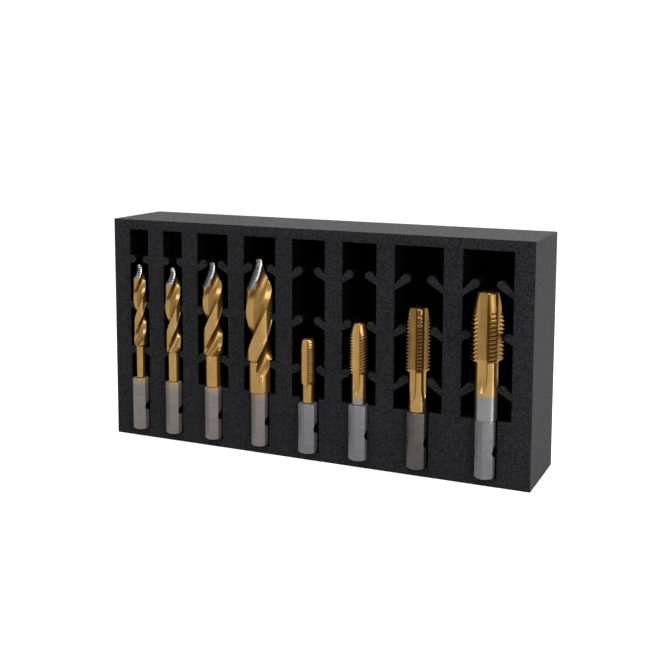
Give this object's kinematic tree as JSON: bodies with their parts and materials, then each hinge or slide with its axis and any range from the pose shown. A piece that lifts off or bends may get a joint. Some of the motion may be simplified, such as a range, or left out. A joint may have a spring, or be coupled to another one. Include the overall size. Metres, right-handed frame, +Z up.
{
  "type": "tap and die storage drawer",
  "caption": "Slotted black foam tool tray with springy foam fingers, holding twist drills and straight-fluted taps on hexagonal quick-change shanks.",
  "frame": {"origin": "middle of the long edge that the tray stands on: half way along its length and half way through the foam's thickness", "axes": "+X along the tray, +Y from its open face to its back, +Z up, from the shank end of the tools to their tips"},
  "size_m": [0.2352, 0.0509, 0.121],
  "materials": {
    "foam": "matte closed-cell foam",
    "coated_steel": "gold nitride coating"
  },
  "bodies": {
    "tray": {"foam_cut_layer": "foam", "foam_base_layer": "foam"},
    "drill_for_m8": {"drill_for_m8": "coated_steel"},
    "drill_for_m10": {"drill_for_m10": "coated_steel"},
    "drill_for_m12": {"drill_for_m12": "coated_steel"},
    "drill_for_m16": {"drill_for_m16": "coated_steel"},
    "tap_m8": {"tap_m8": "coated_steel"},
    "tap_m10": {"tap_m10": "coated_steel"},
    "tap_m12": {"tap_m12": "coated_steel"},
    "tap_m16": {"tap_m16": "coated_steel"}
  },
  "joints": [
    {"name": "lift_drill_for_m8", "type": "slide", "parent": "tray", "child": "drill_for_m8", "axis": [0, -1, 0], "range_m": [0, 0.035]},
    {"name": "lift_drill_for_m10", "type": "slide", "parent": "tray", "child": "drill_for_m10", "axis": [0, -1, 0], "range_m": [0, 0.035]},
    {"name": "lift_drill_for_m12", "type": "slide", "parent": "tray", "child": "drill_for_m12", "axis": [0, -1, 0], "range_m": [0, 0.035]},
    {"name": "lift_drill_for_m16", "type": "slide", "parent": "tray", "child": "drill_for_m16", "axis": [0, -1, 0], "range_m": [0, 0.035]},
    {"name": "lift_tap_m8", "type": "slide", "parent": "tray", "child": "tap_m8", "axis": [0, -1, 0], "range_m": [0, 0.035]},
    {"name": "lift_tap_m10", "type": "slide", "parent": "tray", "child": "tap_m10", "axis": [0, -1, 0], "range_m": [0, 0.035]},
    {"name": "lift_tap_m12", "type": "slide", "parent": "tray", "child": "tap_m12", "axis": [0, -1, 0], "range_m": [0, 0.035]},
    {"name": "lift_tap_m16", "type": "slide", "parent": "tray", "child": "tap_m16", "axis": [0, -1, 0], "range_m": [0, 0.035]}
  ]
}
